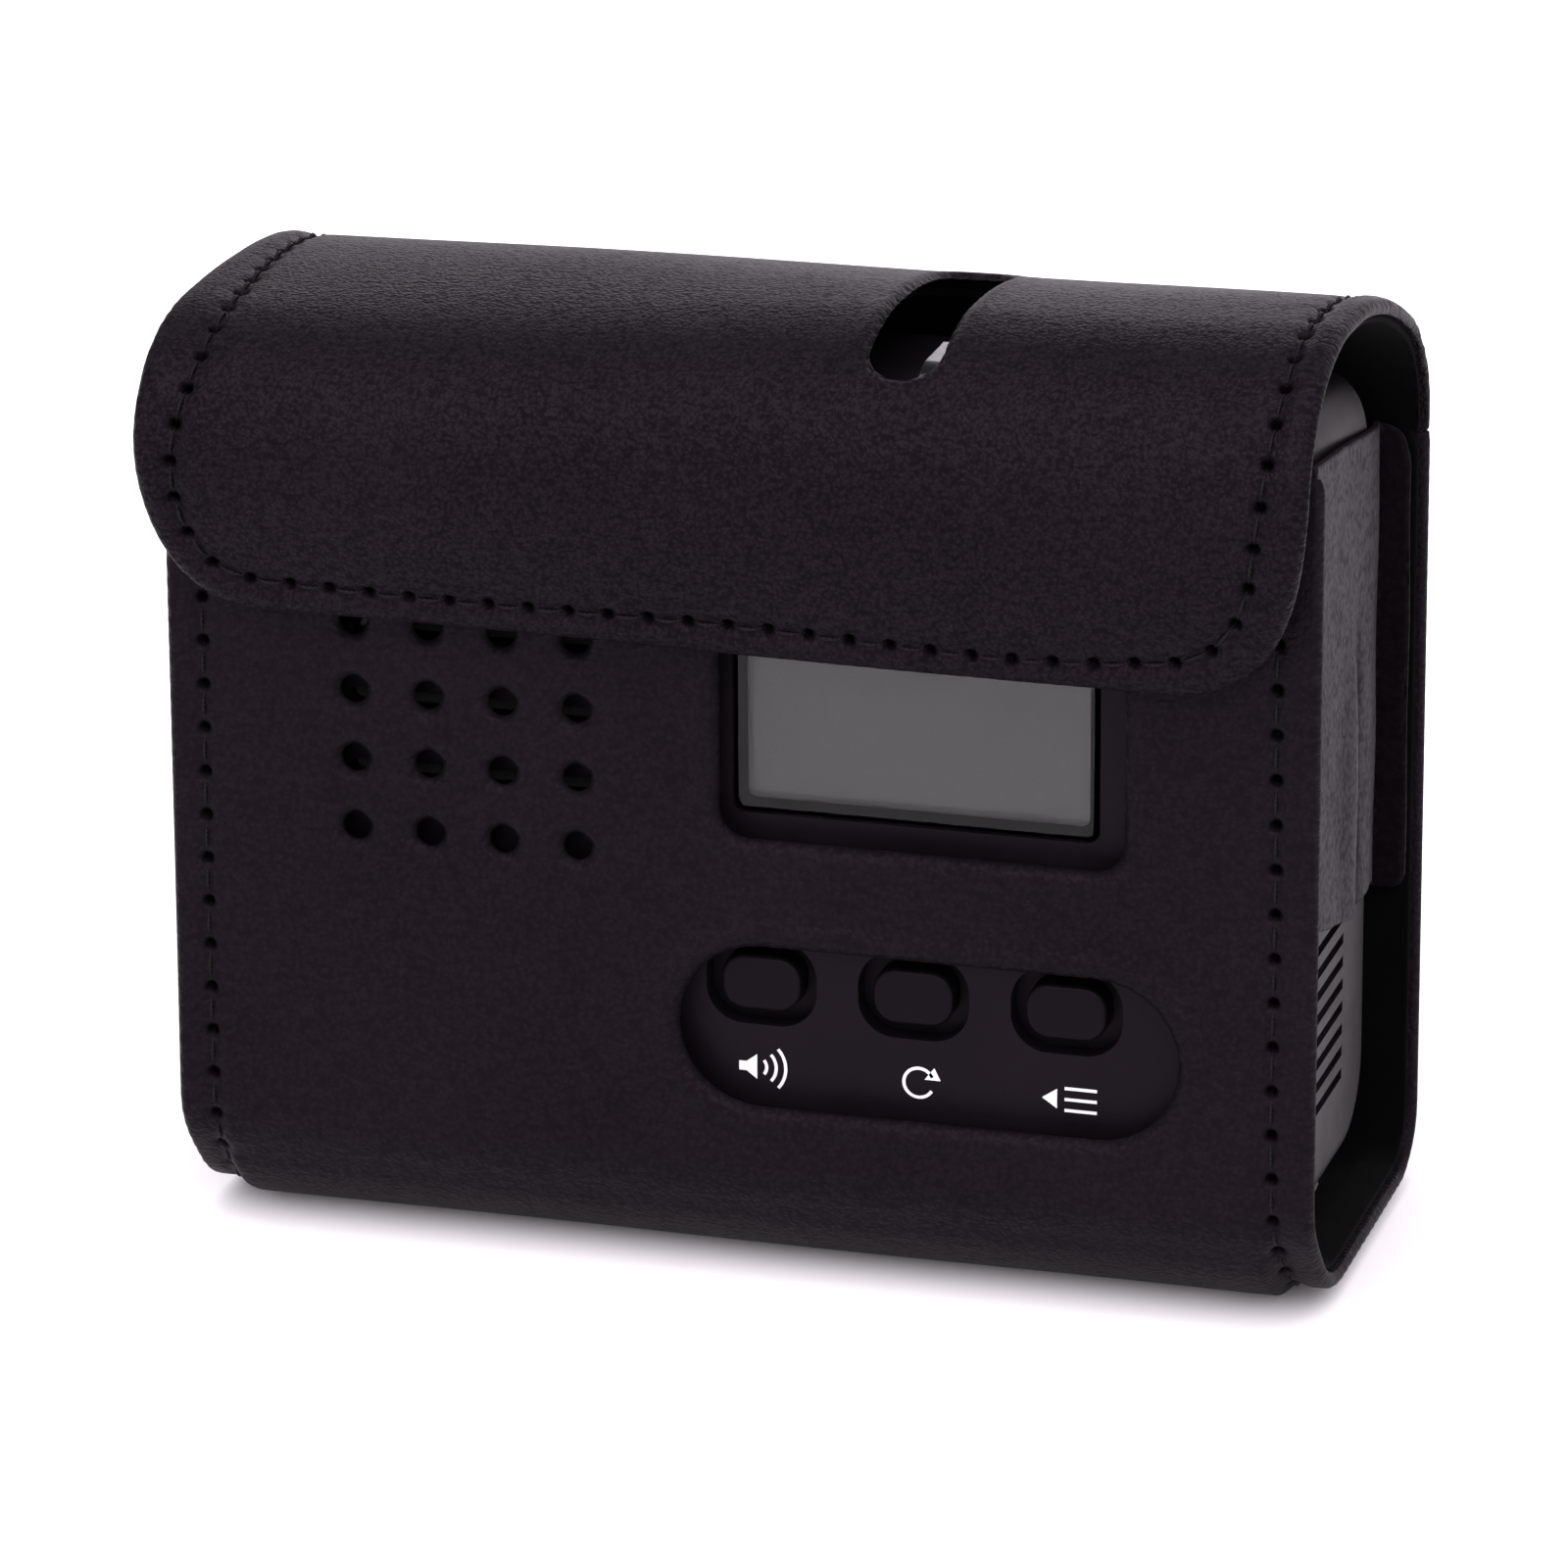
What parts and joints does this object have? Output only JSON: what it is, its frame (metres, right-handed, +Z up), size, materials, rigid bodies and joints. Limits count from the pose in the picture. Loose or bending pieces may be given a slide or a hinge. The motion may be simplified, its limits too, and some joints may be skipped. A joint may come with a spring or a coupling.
{
  "type": "portable field recorder",
  "caption": "Hand-held speaker unit with a display and press keys, carried in a black leatherette belt case with a fold-over flap.",
  "frame": {"origin": "middle of the surface the case stands on, under the middle of its overall width and depth", "axes": "+Z up, +X to the viewer's right when facing the keys, the front faces -Y"},
  "size_m": [0.107, 0.0569, 0.0911],
  "materials": {
    "leatherette": "satin grained leatherette",
    "suede": "napped suede lining",
    "felt": "felt",
    "hook_and_loop": "woven hook and loop",
    "unit_plastic": "fine moulded texture",
    "key_plastic": "smooth matt",
    "clear_window": "polished clear",
    "display": "grey-green display",
    "frame_plastic": "moulded",
    "contact_rubber": "layered elastomer",
    "board": "solder mask",
    "steel": "plated",
    "cell_jacket": "printed sleeve",
    "speaker_metal": "pressed",
    "switch_metal": "pressed",
    "clear_lens": "clear moulded",
    "lamp_red": "tinted epoxy"
  },
  "bodies": {
    "case": {"alert_lamp": "lamp_red", "alert_lens": "clear_lens", "base_pad": "felt", "battery_cells": "cell_jacket", "battery_contacts": "steel", "battery_door": "unit_plastic", "belt_loop": "leatherette", "board_screws": "steel", "case_lining": "suede", "case_wrap": "leatherette", "closure_loop_patch": "hook_and_loop", "display_contact_strips": "contact_rubber", "display_frame": "frame_plastic", "display_glass": "display", "display_window": "clear_window", "front_housing": "unit_plastic", "gusset_left": "leatherette", "gusset_right": "leatherette", "housing_screws": "steel", "key_switches": "switch_metal", "main_board": "board", "microphone": "speaker_metal", "rear_housing": "unit_plastic", "speaker": "speaker_metal", "speaker_felt": "felt"},
    "flap": {"flap": "leatherette", "flap_lining": "suede", "closure_hook_patch": "hook_and_loop"},
    "volume_key": {"volume_key": "key_plastic"},
    "reset_key": {"reset_key": "key_plastic"},
    "review_key": {"review_key": "key_plastic"}
  },
  "joints": [
    {"name": "flap_hinge", "type": "hinge", "parent": "case", "child": "flap", "pos_m": [0, 0.0221, 0.07515], "axis": [-1, 0, 0], "range_deg": [0, 150]},
    {"name": "volume_press", "type": "slide", "parent": "case", "child": "volume_key", "axis": [0, 1, 0], "range_m": [0, 0.0007], "stiffness_N_per_m": 2000},
    {"name": "reset_press", "type": "slide", "parent": "case", "child": "reset_key", "axis": [0, 1, 0], "range_m": [0, 0.0007], "stiffness_N_per_m": 2000},
    {"name": "review_press", "type": "slide", "parent": "case", "child": "review_key", "axis": [0, 1, 0], "range_m": [0, 0.0007], "stiffness_N_per_m": 2000}
  ]
}
